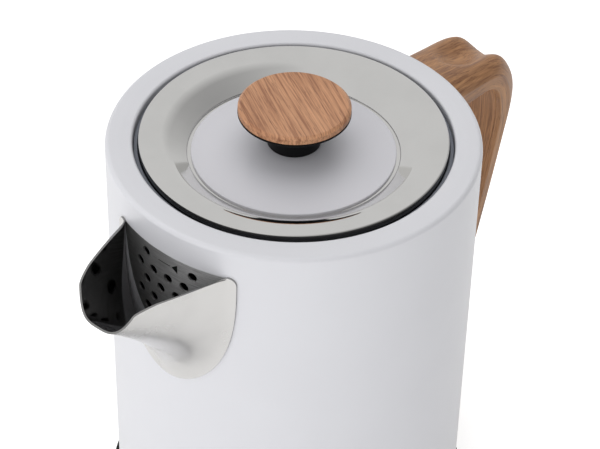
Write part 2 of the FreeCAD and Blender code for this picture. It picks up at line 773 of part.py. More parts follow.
def base_top():
    """Upper shell of the power base, with a low rim round the jug's place and four bosses inside."""
    inside = BASE_R - BASE_WALL
    under = BASE_H - BASE_WALL
    shell = turned([
        (POST_R + 0.1, BASE_H), (BASE_R - 3.4, BASE_H, 0.5), (BASE_R - 3.0, BASE_H + 2, 0.8),
        (BASE_R - 0.6, BASE_H + 2, 1.5), (BASE_R, 2, 0.8), (inside, 2), (inside, under, 2),
        (POST_R + 0.1, under),
    ])
    boss = cylinder(4.5, 7.1, under, BASE_SCREW_AT)
    hole = cylinder(2.0, 7.1, under - 1.5, BASE_SCREW_AT)
    cord_hole = along_x(GLAND_R + 0.05, BASE_R - 6, BASE_R + 4, 0, CORD_Z)
    whole = fuse_all([shell] + round_the_axis(boss, 4, 45))
    return cut_all(whole, round_the_axis(hole, 4, 45) + [cord_hole])


def base_bottom():
    """Lower cover, with a groove for the foot ring, four screw pillars and two posts for the cord clamp."""
    top = 4.5
    edge = BASE_R - BASE_WALL - 0.2
    plate = turned([
        (0, 2), (FOOT_R - FOOT_W, 2), (FOOT_R - FOOT_W, FOOT_H), (FOOT_R, FOOT_H), (FOOT_R, 2), (edge, 2),
        (edge, top), (0, top),
    ])
    pillars = round_the_axis(cylinder(5.5, top, 7, BASE_SCREW_AT), 4, 45)
    posts = []
    for y in (-8, 8):
        posts.append(cylinder(3.0, top, CLAMP_Z, CLAMP_X, y).cut(cylinder(1.2, top, CLAMP_Z, CLAMP_X, y)))
    head = cylinder(3.8, 2, 4.6, BASE_SCREW_AT).fuse(cylinder(2.1, 2, 7, BASE_SCREW_AT))
    whole = fuse_all([plate] + pillars + posts)
    gland_notch = block(BASE_R - 8, BASE_R, -7, 7, 0, 5)
    return cut_all(whole, round_the_axis(head, 4, 45) + [gland_notch])


def foot_ring():
    return turned([(FOOT_R - FOOT_W, 0, 0.5), (FOOT_R, 0, 0.5), (FOOT_R, FOOT_H), (FOOT_R - FOOT_W, FOOT_H)])


def base_screws():
    return Part.makeCompound(round_the_axis(screw(BASE_SCREW_AT, 0, 2.5, 8), 4, 45))


def connector_post():
    """Round post that the jug's socket drops over, open at the top."""
    flange_top = BASE_H - BASE_WALL
    body = turned([
        (0, 12), (20, 12), (20, flange_top), (POST_R, flange_top), (POST_R, POST_TOP, 1.2),
        (9, POST_TOP, 1.0), (9, 13.5), (0, 13.5),
    ])
    return body.cut(cylinder(1.8, 10, 14))


def connector_pin():
    return turned([(0, 8), (1.8, 8), (1.8, 25, 0.9), (0, 25)])


def neutral_ring():
    return ring(5.2, 6.2, 13.5, 25)


def swivel_collar():
    """Loose guide ring round the post: it carries the jug's socket and turns with it."""
    inside = POST_R + RUN
    top = BASE_H + COLLAR_H
    return turned([(inside, BASE_H), (COLLAR_R, BASE_H), (COLLAR_R, top, 0.8), (inside, top)])


def cord_gland():
    """Bushing in the base's wall, where the mains cord would leave."""
    body = along_x(GLAND_R, 68, 79, 0, CORD_Z).fuse(along_x(6.2, BASE_R + 0.1, BASE_R + 1.6, 0, CORD_Z))
    inner_flange = along_x(6.4, 69.2, 70.4, 0, CORD_Z)
    return body.fuse(inner_flange).cut(along_x(CORD_R, 66, 80, 0, CORD_Z)).removeSplitter()


def cord_clamp():
    bar = block(CLAMP_X - 3, CLAMP_X + 3, -11, 11, CLAMP_Z, CLAMP_Z + 1.8)
    return cut_all(bar, [cylinder(1.4, CLAMP_Z, CLAMP_Z + 2, CLAMP_X, y) for y in (-8, 8)])


def clamp_screws():
    top = CLAMP_Z + 1.8
    return Part.makeCompound([screw(CLAMP_X, y, top + 0.55 * 2.4, 5.5, 1.2, 2.4, up=-1) for y in (-8, 8)])


def terminal_block():
    """Three screw terminals for the cord's wires."""
    body = block(28, 40, -9, 9, 4.6, 11.6)
    bores = [along_x(1.6, 27, 41, y, 7.7) for y in (-6, 0, 6)]
    return cut_all(body, bores)


def base_leads():
    """Wires from the terminals to the connector."""
    leads = [tube([(27.9, 0, 7.7), (15, 0, 7.7), (7, 0, 9.2), (1.9, 0, 9.2)], 4, 0.9)]
    for y in (-6, 6):
        leads.append(tube([(27.9, y, 7.7), (18, y, 7.7), (8, y * 0.7, 8.6), (8, y * 0.7, 11.9)], 2, 0.9))
    return Part.makeCompound(leads)


PARTS = {
    "jug_body": jug_body(),
    "spout": spout(),
    "jug_skirt": jug_skirt(),
    "jug_floor": jug_floor(),
    "heat_spreader": heat_spreader(),
    "heating_element": heating_element(),
    "control_housing": control_housing(),
    "bimetal_discs": bimetal_discs(),
    "connector_socket": connector_socket(),
    "socket_contacts": socket_contacts(),
    "control_blades": control_blades(),
    "skirt_screws": skirt_screws(),
    "lid_ring": lid_ring(),
    "lid_disc": lid_disc(),
    "lid_plug": lid_plug(),
    "lid_seal": lid_seal(),
    "knob_stem": knob_stem(),
    "knob_cap": knob_cap(),
    "knob_washer": knob_washer(),
    "knob_screw": knob_screw(),
    "handle_shell": handle_shell(),
    "handle_cover": handle_cover(),
    "upper_bracket": upper_bracket(),
    "lower_bracket": lower_bracket(),
    "handle_screws": handle_screws(),
    "steam_tube": steam_tube(),
    "steam_disc": steam_disc(),
    "steam_disc_carrier": steam_disc_carrier(),
    "switch_lever": switch_lever(),
    "switch_pin": switch_pin(),
    "switch_bracket": switch_bracket(),
    "contact_bridge": contact_bridge(),
    "contact_rails": contact_rails(),
    "base_top": base_top(),
    "base_bottom": base_bottom(),
    "foot_ring": foot_ring(),
    "base_screws": base_screws(),
    "connector_post": connector_post(),
    "connector_pin": connector_pin(),
    "neutral_ring": neutral_ring(),
    "swivel_collar": swivel_collar(),
    "cord_gland": cord_gland(),
    "cord_clamp": cord_clamp(),
    "clamp_screws": clamp_screws(),
    "terminal_block": terminal_block(),
    "base_leads": base_leads(),
}

for name, shape in PARTS.items():
    shape.exportStep("parts/" + name + ".step")
    state = "valid" if shape.isValid() else "not valid"
    print(name, state, len(shape.Solids), "solids", round(shape.Volume, 1))
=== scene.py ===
import json
import math

import bmesh
import bpy
import numpy as np
from mathutils import Matrix, Vector


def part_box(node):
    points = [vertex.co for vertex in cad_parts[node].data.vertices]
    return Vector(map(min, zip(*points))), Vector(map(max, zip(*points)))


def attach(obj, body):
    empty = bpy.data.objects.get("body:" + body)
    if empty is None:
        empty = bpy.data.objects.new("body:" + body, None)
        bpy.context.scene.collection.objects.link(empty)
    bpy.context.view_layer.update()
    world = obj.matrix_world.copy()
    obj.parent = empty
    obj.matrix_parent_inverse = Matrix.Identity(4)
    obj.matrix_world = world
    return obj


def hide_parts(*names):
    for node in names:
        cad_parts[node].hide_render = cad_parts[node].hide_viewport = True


# Cordless jug kettle on its power base. Lengths are in metres in the row frame: the jug's axis is Z, the
# handle is on +X and the spout on -X. Profiles and outlines are written in millimetres.

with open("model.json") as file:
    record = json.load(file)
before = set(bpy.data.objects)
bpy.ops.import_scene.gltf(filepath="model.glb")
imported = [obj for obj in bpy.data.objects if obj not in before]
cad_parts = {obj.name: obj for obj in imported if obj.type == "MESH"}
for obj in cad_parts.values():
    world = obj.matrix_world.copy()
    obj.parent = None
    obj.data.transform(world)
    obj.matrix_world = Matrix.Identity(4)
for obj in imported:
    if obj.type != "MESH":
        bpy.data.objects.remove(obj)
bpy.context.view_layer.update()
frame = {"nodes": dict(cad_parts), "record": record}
bpy.context.scene.view_settings.view_transform = "Standard"

MM = 0.001
ROUND = 256                     # facets round the jug's axis
WALL_PAST_FLOOR = 0.85          # from the edge of the jug's floor to the outside of its wall
BODY_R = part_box("jug_floor")[1].x / MM + WALL_PAST_FLOOR
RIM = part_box("jug_body")[1].z / MM
BODY_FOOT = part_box("jug_body")[0].z / MM

# Faces that meet at less than these angles, in degrees, are shaded as one surface.
SMOOTH = 40
TURNED_SMOOTH = 30
HANDLE_SMOOTH = 32
SPOUT_SMOOTH = 60

ON_AXIS = 1e-6                  # millimetres: a profile point nearer to the axis is a single vertex
WELD = 1e-7                     # metres: vertices nearer than this are joined


# ---------------------------------------------------------------- shapes

def arc_points(here, before, after, radius, step=8.0):
    """A rounded corner as points, from the leg before it to the leg after it."""
    back = (Vector(before) - Vector(here)).normalized()
    ahead = (Vector(after) - Vector(here)).normalized()
    half = back.angle(ahead) / 2
    reach = radius / math.tan(half)
    centre = Vector(here) + (back + ahead).normalized() * (radius / math.sin(half))
    start = Vector(here) + back * reach - centre
    end = Vector(here) + ahead * reach - centre
    count = max(2, math.ceil(math.degrees(start.angle(end)) / step))
    points = []
    for i in range(count + 1):
        share = i / count
        turn = start.angle(end)
        a = math.sin((1 - share) * turn) / math.sin(turn)
        b = math.sin(share * turn) / math.sin(turn)
        points.append(centre + start * a + end * b)
    return points


def outline(corners, step=8.0):
    """Points round a closed outline. A corner is (x, z) or, rounded, (x, z, radius)."""
    points = []
    for i, corner in enumerate(corners):
        here = corner[:2]
        if len(corner) == 2:
            points.append(Vector(here))
        else:
            after = corners[(i + 1) % len(corners)][:2]
            points += arc_points(here, corners[i - 1][:2], after, corner[2], step)
    return points


def new_object(name, vertices, faces, smooth_angle=SMOOTH):
    mesh = bpy.data.meshes.new(name)
    mesh.from_pydata([tuple(v) for v in vertices], [], faces)
    mesh.update()
    piece = bpy.data.objects.new(name, mesh)
    bpy.context.scene.collection.objects.link(piece)
    shade(piece, smooth_angle)
    return piece


def shade(piece, smooth_angle):
    mesh = piece.data
    mesh.shade_smooth()
    mesh.set_sharp_from_angle(angle=math.radians(smooth_angle))


def lathe(name, corners, segments=ROUND, step=8.0):
    """The solid that a closed outline of (radius, height) in millimetres sweeps about the jug's axis."""
    profile = outline(corners, step)
    vertices = []
    rings = []
    for r, z in profile:
        first = len(vertices)
        if r < ON_AXIS:
            vertices.append((0, 0, z * MM))
            rings.append([first] * segments)
            continue
        for k in range(segments):
            turn = 2 * math.pi * k / segments
            vertices.append((r * MM * math.cos(turn), r * MM * math.sin(turn), z * MM))
        rings.append([first + k for k in range(segments)])
    faces = []
    for i, ring in enumerate(rings):
        following = rings[(i + 1) % len(rings)]
        if ring[0] == ring[1] and following[0] == following[1]:
            continue
        for k in range(segments):
            j = (k + 1) % segments
            loop = [ring[k], ring[j], following[j], following[k]]
            faces.append(list(dict.fromkeys(loop)))
    piece = new_object(name, vertices, faces, TURNED_SMOOTH)
    outward(piece)
    shade(piece, TURNED_SMOOTH)
    return piece


def outward(piece):
    """Turns all faces of a closed mesh outward."""
    work = bmesh.new()
    work.from_mesh(piece.data)
    bmesh.ops.remove_doubles(work, verts=work.verts, dist=WELD)
    bmesh.ops.recalc_face_normals(work, faces=work.faces)
    work.to_mesh(piece.data)
    work.free()


def weighted_normals(piece):
    """Keeps large faces flat in the shading where small ones round their edges."""
    mod = piece.modifiers.new("normals", "WEIGHTED_NORMAL")
    mod.keep_sharp = True


def apply_modifiers(piece):
    """Replaces the piece's mesh with the mesh that its modifiers make."""
    graph = bpy.context.evaluated_depsgraph_get()
    made = bpy.data.meshes.new_from_object(piece.evaluated_get(graph))
    piece.modifiers.clear()
    old = piece.data
    piece.data = made
    bpy.data.meshes.remove(old)


def cut(piece, tools):
    """Cuts the tools out of the piece and removes them."""
    for tool in tools:
        mod = piece.modifiers.new("cut", "BOOLEAN")
        mod.operation = "DIFFERENCE"
        mod.solver = "EXACT"
        mod.object = tool
    apply_modifiers(piece)
    for tool in tools:
        mesh = tool.data
        bpy.data.objects.remove(tool)
        bpy.data.meshes.remove(mesh)


def rods(name, ends, radius, segments=32):
    """One mesh of separate cylinders, each from a start to an end point in millimetres."""
    vertices = []
    faces = []
    for start, end in ends:
        start = Vector(start) * MM
        end = Vector(end) * MM
        spin = (end - start).to_track_quat("Z", "Y")
        base = len(vertices)
        for place in (start, end):
            for k in range(segments):
                turn = 2 * math.pi * k / segments
                edge = Vector((radius * MM * math.cos(turn), radius * MM * math.sin(turn), 0))
                vertices.append(place + spin @ edge)
        for k in range(segments):
            j = (k + 1) % segments
            faces.append([base + k, base + j, base + segments + j, base + segments + k])
        faces.append([base + k for k in reversed(range(segments))])
        faces.append([base + segments + k for k in range(segments)])
    return new_object(name, vertices, faces)


def box_mesh(name, low, high):
    """A block between two corners in millimetres."""
    (x0, y0, z0), (x1, y1, z1) = low, high
    vertices = [Vector((x, y, z)) * MM for x in (x0, x1) for y in (y0, y1) for z in (z0, z1)]
    faces = [[0, 1, 3, 2], [4, 6, 7, 5], [0, 4, 5, 1], [2, 3, 7, 6], [0, 2, 6, 4], [1, 5, 7, 3]]
    return new_object(name, vertices, faces)


def round_edges(piece, width, angle):
    """Rounds the edges at which the faces turn by more than the angle, in degrees."""
    mod = piece.modifiers.new("edges", "BEVEL")
    mod.width = width * MM
    mod.segments = 3
    mod.limit_method = "ANGLE"
    mod.angle_limit = math.radians(angle)
    mod.harden_normals = False
    apply_modifiers(piece)


def finish_piece(piece, body, slot, nodes, *materials):
    """Gives a piece its materials and its body, and hides the CAD nodes it stands for. The slot is not used.
    """
    for made in materials:
        piece.data.materials.append(made)
    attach(piece, body)
    if nodes:
        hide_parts(*nodes)
    return piece


# ---------------------------------------------------------------- materials

WHITE = (1.0, 1.0, 1.0, 1.0)
ENAMEL = (0.789, 0.791, 0.828, 1.0)
LIGHT_OAK = (0.66, 0.345, 0.188, 1.0)
MIDDLE_OAK = (0.54, 0.262, 0.135, 1.0)
DARK_OAK = (0.24, 0.085, 0.038, 1.0)
GRIP_LIGHT = (0.52, 0.27, 0.125, 1.0)
GRIP_MIDDLE = (0.40, 0.195, 0.085, 1.0)
GRIP_DARK = (0.19, 0.075, 0.032, 1.0)
STEEL_TINT = (1.0, 0.992, 0.972)
BRUSHED_TINT = (1.0, 0.99, 0.975)
SPOUT_TINT = (1.0, 0.985, 0.965)
SPOUT_IN_TINT = (1.0, 0.985, 0.99)


def add(tree, kind, sockets=None, **settings):
    """Adds a shader node to a material or world, sets its properties and inputs, and returns its outputs."""
    made = tree.node_tree.nodes.new("ShaderNode" + kind)
    for key, value in settings.items():
        setattr(made, key, value)
    for key, value in (sockets or {}).items():
        target = made.inputs[key]
        if isinstance(value, bpy.types.NodeSocket):
            tree.node_tree.links.new(value, target)
        else:
            target.default_value = value
    return made.outputs


def new_material(name, **shader):
    """A material with a Principled shader. Shader inputs are given by name, with _ for a space."""
    mat = bpy.data.materials.new(name)
    mat.use_nodes = True
    bsdf = next(n for n in mat.node_tree.nodes if n.type == "BSDF_PRINCIPLED")
    for key, value in shader.items():
        bsdf.inputs[key.replace("_", " ")].default_value = value
    return mat, bsdf


def link(mat, output, bsdf, name):
    mat.node_tree.links.new(output, bsdf.inputs[name])


def math_node(mat, operation, a, b=None, clamp=False):
    values = {0: a}
    if b is not None:
        values[1] = b
    return add(mat, "Math", values, operation=operation, use_clamp=clamp)[0]


def remap(mat, value, low, high, to_low=0.0, to_high=1.0, smooth=True):
    """The value's range from low to high, stretched to the range from to_low to to_high."""
    kind = "SMOOTHSTEP" if smooth else "LINEAR"
    sockets = {"Value": value, "From Min": low, "From Max": high, "To Min": to_low, "To Max": to_high}
    return add(mat, "MapRange", sockets, interpolation_type=kind)[0]


def mix(mat, share, a, b):
    """Colour a, or colour b where share is 1."""
    made = mat.node_tree.nodes.new("ShaderNodeMix")
    made.data_type = "RGBA"
    for index, value in ((0, share), (6, a), (7, b)):
        if isinstance(value, bpy.types.NodeSocket):
            mat.node_tree.links.new(value, made.inputs[index])
        else:
            made.inputs[index].default_value = value
    return made.outputs[2]


def place(mat):
    """The piece's own coordinates, which stay with it at every pose."""
    return add(mat, "TexCoord")["Object"]


def turned(mat, vector, scale, turn):
    return add(mat, "Mapping", {"Vector": vector, "Scale": scale, "Rotation": turn})[0]


def stretched(mat, parts, scales):
    """A vector of the three parts, each scaled by its own number."""
    return add(mat, "CombineXYZ", {i: math_node(mat, "MULTIPLY", parts[i], scales[i]) for i in range(3)})[0]


def noise(mat, vector, scale=1.0, detail=2.0, rough=0.5):
    return add(mat, "TexNoise", {"Vector": vector, "Scale": scale, "Detail": detail, "Roughness": rough})[0]


def bump(mat, bsdf, height, distance, strength):
    out = add(mat, "Bump", {"Height": height, "Distance": distance, "Strength": strength})[0]
    link(mat, out, bsdf, "Normal")
    return out


def cylinder_coordinates(mat, r):
    """(arc round the jug from the middle of the spout, distance from the axis, height), in metres."""
    parts = add(mat, "SeparateXYZ", {0: place(mat)})
    back = math_node(mat, "MULTIPLY", parts[0], -1.0)
    side = math_node(mat, "MULTIPLY", parts[1], -1.0)
    arc = math_node(mat, "MULTIPLY", math_node(mat, "ARCTAN2", side, back), r)
    flat = add(mat, "CombineXYZ", {0: parts[0], 1: parts[1]})[0]
    away = add(mat, "VectorMath", {0: flat}, operation="LENGTH")["Value"]
    return arc, away, parts[2]


def grey(value, tint):
    return (value * tint[0], value * tint[1], value * tint[2], 1.0)


def shaded(colour, factor, lift=0.0):
    """The colour made lighter or darker by a factor."""
    return [min(1.0, c * factor + lift) for c in colour[:3]] + [1.0]


def enamel_nodes(mat, bsdf, colour, vector):
    """Sprayed enamel: a faint drift of tone, and the slight waviness of a baked coat."""
    drift = noise(mat, vector, 28.0, 2.0)
    tone = mix(mat, remap(mat, drift, 0.3, 0.7), colour, shaded(colour, 0.985))
    peel = noise(mat, vector, 420.0, 2.0, 0.4)
    speck = noise(mat, vector, 1700.0, 1.0, 0.5)
    height = math_node(mat, "ADD", peel, math_node(mat, "MULTIPLY", speck, 0.15))
    normal = bump(mat, bsdf, height, 0.00004, 0.6)
    return tone, normal


def make_enamel(name, colour, roughness=0.34):
    mat, bsdf = new_material(name, Roughness=roughness, Coat_Weight=0.25, Coat_Roughness=0.16)
    tone, _ = enamel_nodes(mat, bsdf, colour, place(mat))
    link(mat, tone, bsdf, "Base Color")
    return mat


def make_polished(name, base, tint=STEEL_TINT, roughness=0.07, swirl=True):
    """Polished stainless steel with the faint rings and smears that polishing leaves."""
    mat, bsdf = new_material(name, Metallic=1.0)
    ring = stretched(mat, cylinder_coordinates(mat, 0.05), (12.0, 2600.0, 2600.0))
    fine = noise(mat, ring, 1.0, 3.0, 0.6)
    smear = noise(mat, place(mat), 55.0, 3.0, 0.55)
    rough = remap(mat, smear, 0.3, 0.75, roughness * 0.8, roughness * 1.35)
    link(mat, rough, bsdf, "Roughness")
    tone = mix(mat, remap(mat, smear, 0.35, 0.7), grey(base, tint), grey(base * 0.965, tint))
    link(mat, tone, bsdf, "Base Color")
    if swirl:
        bump(mat, bsdf, fine, 0.000004, 0.35)
    return mat


def make_brushed(name, base, roughness=0.3):
    """Steel brushed round the jug's axis."""
    mat, bsdf = new_material(name, Metallic=1.0)
    lines = stretched(mat, cylinder_coordinates(mat, 0.07), (60.0, 3000.0, 3000.0))
    fine = noise(mat, lines, 1.0, 4.0, 0.65)
    cloud = noise(mat, place(mat), 60.0, 3.0)
    dark, light = grey(base * 0.8, BRUSHED_TINT), grey(base * 1.12, BRUSHED_TINT)
    tone = mix(mat, remap(mat, fine, 0.3, 0.7), dark, light)
    tone = mix(mat, remap(mat, cloud, 0.3, 0.7, 0.0, 0.35), tone, grey(base * 0.75, BRUSHED_TINT))
    link(mat, tone, bsdf, "Base Color")
    link(mat, remap(mat, fine, 0.25, 0.75, roughness * 0.8, roughness * 1.25), bsdf, "Roughness")
    bump(mat, bsdf, fine, 0.00002, 0.5)
    return mat


def make_plastic(name, colour, roughness=0.42, light=1.35):
    """Moulded plastic with a spark-eroded texture, its grain lighter by the factor light."""
    mat, bsdf = new_material(name, Specular_IOR_Level=0.12)
    vector = place(mat)
    fine = noise(mat, vector, 2200.0, 3.0, 0.6)
    cloud = noise(mat, vector, 45.0, 3.0)
    tone = mix(mat, remap(mat, fine, 0.35, 0.75, 0.0, 0.6), colour, shaded(colour, light))
    tone = mix(mat, remap(mat, cloud, 0.35, 0.7, 0.0, 0.4), tone, shaded(colour, 0.85))
    link(mat, tone, bsdf, "Base Color")
    link(mat, remap(mat, cloud, 0.3, 0.7, roughness * 0.92, roughness * 1.1), bsdf, "Roughness")
    bump(mat, bsdf, fine, 0.00003, 0.5)
    return mat


def make_rubber(name, colour, roughness):
    """Moulded rubber or silicone with a little dust on it."""
    mat, bsdf = new_material(name, Specular_IOR_Level=0.35)
    vector = place(mat)
    fine = noise(mat, vector, 1500.0, 2.0)
    dust = noise(mat, vector, 90.0, 4.0, 0.6)
    tone = mix(mat, remap(mat, dust, 0.45, 0.8, 0.0, 0.5), colour, shaded(colour, 1.8, 0.01))
    link(mat, tone, bsdf, "Base Color")
    link(mat, remap(mat, dust, 0.3, 0.7, roughness * 0.9, roughness * 1.15), bsdf, "Roughness")
    bump(mat, bsdf, fine, 0.00002, 0.4)
    return mat


def make_metal(name, colour, roughness):
    """Small pressed or turned metal parts: stained and finely scratched."""
    mat, bsdf = new_material(name, Metallic=1.0)
    vector = place(mat)
    stain = noise(mat, vector, 140.0, 4.0, 0.6)
    scratch = noise(mat, turned(mat, vector, (300.0, 2600.0, 900.0), (0.3, 0.2, 0.7)), 1.0, 2.0)
    tone = mix(mat, remap(mat, stain, 0.35, 0.75), colour, shaded(colour, 0.72))
    link(mat, tone, bsdf, "Base Color")
    link(mat, remap(mat, stain, 0.3, 0.75, roughness * 0.8, roughness * 1.4), bsdf, "Roughness")
    bump(mat, bsdf, scratch, 0.00001, 0.35)
    return mat


def paint_wood(mat, bsdf, vector, light, middle, dark, line_share):
    """Oak grain in the plane of vector's x (along the grain) and y (across it), in metres."""
    parts = add(mat, "SeparateXYZ", {0: vector})
    slow = stretched(mat, parts, (8.0, 17.6, 17.6))
    drift = math_node(mat, "SUBTRACT", noise(mat, slow, 1.0, 2.0), 0.5)
    across = math_node(mat, "ADD", parts[1], math_node(mat, "MULTIPLY", drift, 0.0048))

    def streaks(scales, detail, rough=0.5):
        return noise(mat, stretched(mat, (parts[0], across, parts[2]), scales), 1.0, detail, rough)

    broad = streaks((9.0, 130.0, 60.0), 3.0)
    lines = streaks((11.0, 400.0, 120.0), 4.0, 0.6)
    fibre = streaks((55.0, 1600.0, 700.0), 3.0, 0.6)
    pores = streaks((160.0, 3400.0, 1500.0), 1.0)
    tone = mix(mat, remap(mat, broad, 0.34, 0.66), light, middle)
    tone = mix(mat, remap(mat, lines, 0.53, 0.63, 0.0, line_share), tone, dark)
    tone = mix(mat, remap(mat, fibre, 0.48, 0.68, 0.0, 0.65), tone, dark)
    tone = mix(mat, remap(mat, fibre, 0.47, 0.32, 0.0, 0.5), tone, shaded(light, 1.25))
    tone = mix(mat, remap(mat, pores, 0.62, 0.72, 0.0, 0.5), tone, shaded(dark, 0.55))
    link(mat, tone, bsdf, "Base Color")
    pore_depth = math_node(mat, "MULTIPLY", pores, 0.6)
    groove = math_node(mat, "ADD", pore_depth, math_node(mat, "MULTIPLY", fibre, 0.5))
    link(mat, remap(mat, fibre, 0.3, 0.7, 0.5, 0.38), bsdf, "Roughness")
    bump(mat, bsdf, math_node(mat, "MULTIPLY", groove, -1.0), 0.00006, 0.45)


# ---------------------------------------------------------------- jug body

SHEET = 0.8
NECK = 12.0             # depth of the turned-down mouth
MOUTH_R = 59.7
RIM_ROWS = 33           # rings of faces on the wall, close together where the holes are
RIM_ROWS_FROM = 68
RIM_ROW = 1.7
FOOT_ROWS = 6
FOOT_ROW = 16
PORT_DROP = 19.8        # the steam port's middle, below the rim
PORT_R = 2.6

HOLE_R = 1.95
HOLE_PITCH = 7.4
HOLE_TOP = 17.3
HOLE_ROWS = 7
HOLE_CLEAR = 2          # a hole keeps this and its own radius between its edge and the spout's root

# The spout's root on the wall is a shield: (arc / half) ** power + (drop / depth) ** power is below 1 in it.
ROOT_HALF = 23.5
ROOT_TOP = 12.3
ROOT_DROP = 50.0
ROOT_POWER = 2.8
ROOT_SIDE_POWER = 0.54  # one over the power across

# The bare steel behind the spout, in a shield that the spout's flange covers at its edge.
PAINT_TOP = 12.5
BARE_HALF = 0.0255
BARE_DROP = 0.053
BARE_SIDE_POWER = 1.85
BARE_POWER = 2.8
BARE_LIMIT = 0.026
BARE_STEEL = 0.9
SHADE_FALL_HALF = 0.018       # painted shade: the bare steel's tone falls across this much to each side of the middle, darker towards +Y
# painted shade: the tone on the bare steel's darker side, as a share of its full tone
SHADED_SIDE_TONE = 0.28


def on_wall(arc, drop, r=BODY_R):
    """A point on the wall in millimetres: arc from the middle of the spout towards -Y, drop below the rim."""
    turn = math.pi + arc / BODY_R
    return Vector((r * math.cos(turn), r * math.sin(turn), RIM - drop))


def strainer_ends():
    """Where each strainer hole starts and ends."""
    ends = []
    for row in range(HOLE_ROWS):
        drop = HOLE_TOP + row * HOLE_PITCH * math.sqrt(3) / 2
        share = (drop - ROOT_TOP) / ROOT_DROP
        root_half = ROOT_HALF * (1 - share ** ROOT_POWER) ** ROOT_SIDE_POWER
        shift = 0.5 if row % 2 == 0 else 0.0
        for column in range(-3, 4):
            arc = (column + shift) * HOLE_PITCH
            level_mark = row == 0 and abs(arc) < HOLE_PITCH
            if level_mark or abs(arc) > root_half - 2 * HOLE_R - HOLE_CLEAR:
                continue
            ends.append((on_wall(arc, drop, BODY_R - 4), on_wall(arc, drop, BODY_R + 4)))
    return ends


def make_jug_shell():
    """The wall, its rolled rim and the turned-down mouth, with the strainer holes and the steam port."""
    inside = BODY_R - SHEET
    neck = RIM - NECK
    low_rows = [(BODY_R, BODY_FOOT + 12 + FOOT_ROW * i) for i in range(FOOT_ROWS)]
    rows = [(BODY_R, RIM - RIM_ROWS_FROM + RIM_ROW * i) for i in range(RIM_ROWS)]
    piece = lathe("jug_shell", [
        (inside, BODY_FOOT), (BODY_R - 0.25, BODY_FOOT), (BODY_R, BODY_FOOT + 0.35)] + low_rows + rows + [
        (BODY_R, RIM - 0.1, 1.9), (BODY_R - 5.4, RIM, 12.0), (MOUTH_R, RIM - 0.2, 1.2), (MOUTH_R, neck, 0.3),
        (MOUTH_R + SHEET, neck, 0.3), (MOUTH_R + SHEET, RIM - 1.2, 0.4), (inside, RIM - 1.2, 1.1),
    ], step=6.0)
    port = (BODY_R - 4, 10, RIM - PORT_DROP), (BODY_R + 4, 10, RIM - PORT_DROP)
    cut(piece, [rods("holes", strainer_ends(), HOLE_R, 40), rods("port", [port], PORT_R)])
    shade(piece, TURNED_SMOOTH)
    # The jug is bare steel inside: faces that look down, towards the axis, or out at the back of the neck.
    for face in piece.data.polygons:
        away = Vector((face.center.x, face.center.y, 0))
        r = away.length / MM
        outward_share = face.normal.dot(away.normalized())
        low = face.center.z / MM > BODY_FOOT + 1 and face.normal.z < -0.3
        back = outward_share < -0.3 and r > BODY_R - 3
        neck_back = outward_share > 0.3 and r < MOUTH_R + 2
        face.material_index = 1 if low or back or neck_back else 0
    weighted_normals(piece)
    return piece


def make_jug_paint():
    """White enamel, and bare brushed steel in the window behind the spout, with painted shade that darkens
    the steel towards +Y.
    """
    mat, bsdf = new_material("enamelled_steel", Coat_Roughness=0.16)
    cylinder = cylinder_coordinates(mat, BODY_R * MM)
    arc, away, height = cylinder
    vector = place(mat)
    enamel_tone, normal = enamel_nodes(mat, bsdf, ENAMEL, vector)
    fine = noise(mat, stretched(mat, cylinder, (120.0, 4500.0, 4500.0)), 1.0, 4.0, 0.65)
    # Painted shade: the bare steel's tone falls linearly across the window, to its darkest on the +Y side.
    painted_shade = remap(mat, arc, -SHADE_FALL_HALF, SHADE_FALL_HALF, SHADED_SIDE_TONE, 1.0, smooth=False)
    scratched = remap(mat, fine, 0.3, 0.7, BARE_STEEL * 0.7, BARE_STEEL * 1.25)
    tone = math_node(mat, "MULTIPLY", scratched, painted_shade)
    steel = add(mat, "CombineColor", {0: tone, 1: tone, 2: tone})[0]
    drop = math_node(mat, "SUBTRACT", RIM * MM, height)
    side = math_node(mat, "DIVIDE", math_node(mat, "ABSOLUTE", arc), BARE_HALF)
    side_share = math_node(mat, "POWER", side, BARE_SIDE_POWER)
    down_share = math_node(mat, "POWER", math_node(mat, "DIVIDE", drop, BARE_DROP), BARE_POWER)
    shield = math_node(mat, "ADD", side_share, down_share)
    behind_spout = remap(mat, shield, 1.0, 0.99, smooth=False)
    paint_top = PAINT_TOP * MM
    below_edge = remap(mat, drop, paint_top - 0.00003, paint_top + 0.00003, smooth=False)
    front = remap(mat, math_node(mat, "ABSOLUTE", arc), BARE_LIMIT + 0.0002, BARE_LIMIT, smooth=False)
    window = math_node(mat, "MULTIPLY", math_node(mat, "MULTIPLY", behind_spout, below_edge), front)
    on_outside = remap(mat, away, BODY_R * MM - 0.0009, BODY_R * MM - 0.00085, smooth=False)
    bare = math_node(mat, "MULTIPLY", window, on_outside, clamp=True)
    link(mat, mix(mat, bare, enamel_tone, steel), bsdf, "Base Color")
    link(mat, remap(mat, bare, 0.0, 1.0, 0.0, 0.72), bsdf, "Metallic")
    rough = remap(mat, fine, 0.25, 0.75, 0.42, 0.56)
    link(mat, add(mat, "Mix", {0: bare, 2: 0.36, 3: rough})[0], bsdf, "Roughness")
    link(mat, remap(mat, bare, 0.0, 1.0, 0.25, 0.0), bsdf, "Coat Weight")
    brush_marks = {"Height": fine, "Distance": 0.00001, "Strength": bare, "Normal": normal}
    link(mat, add(mat, "Bump", brush_marks)[0], bsdf, "Normal")
    return mat


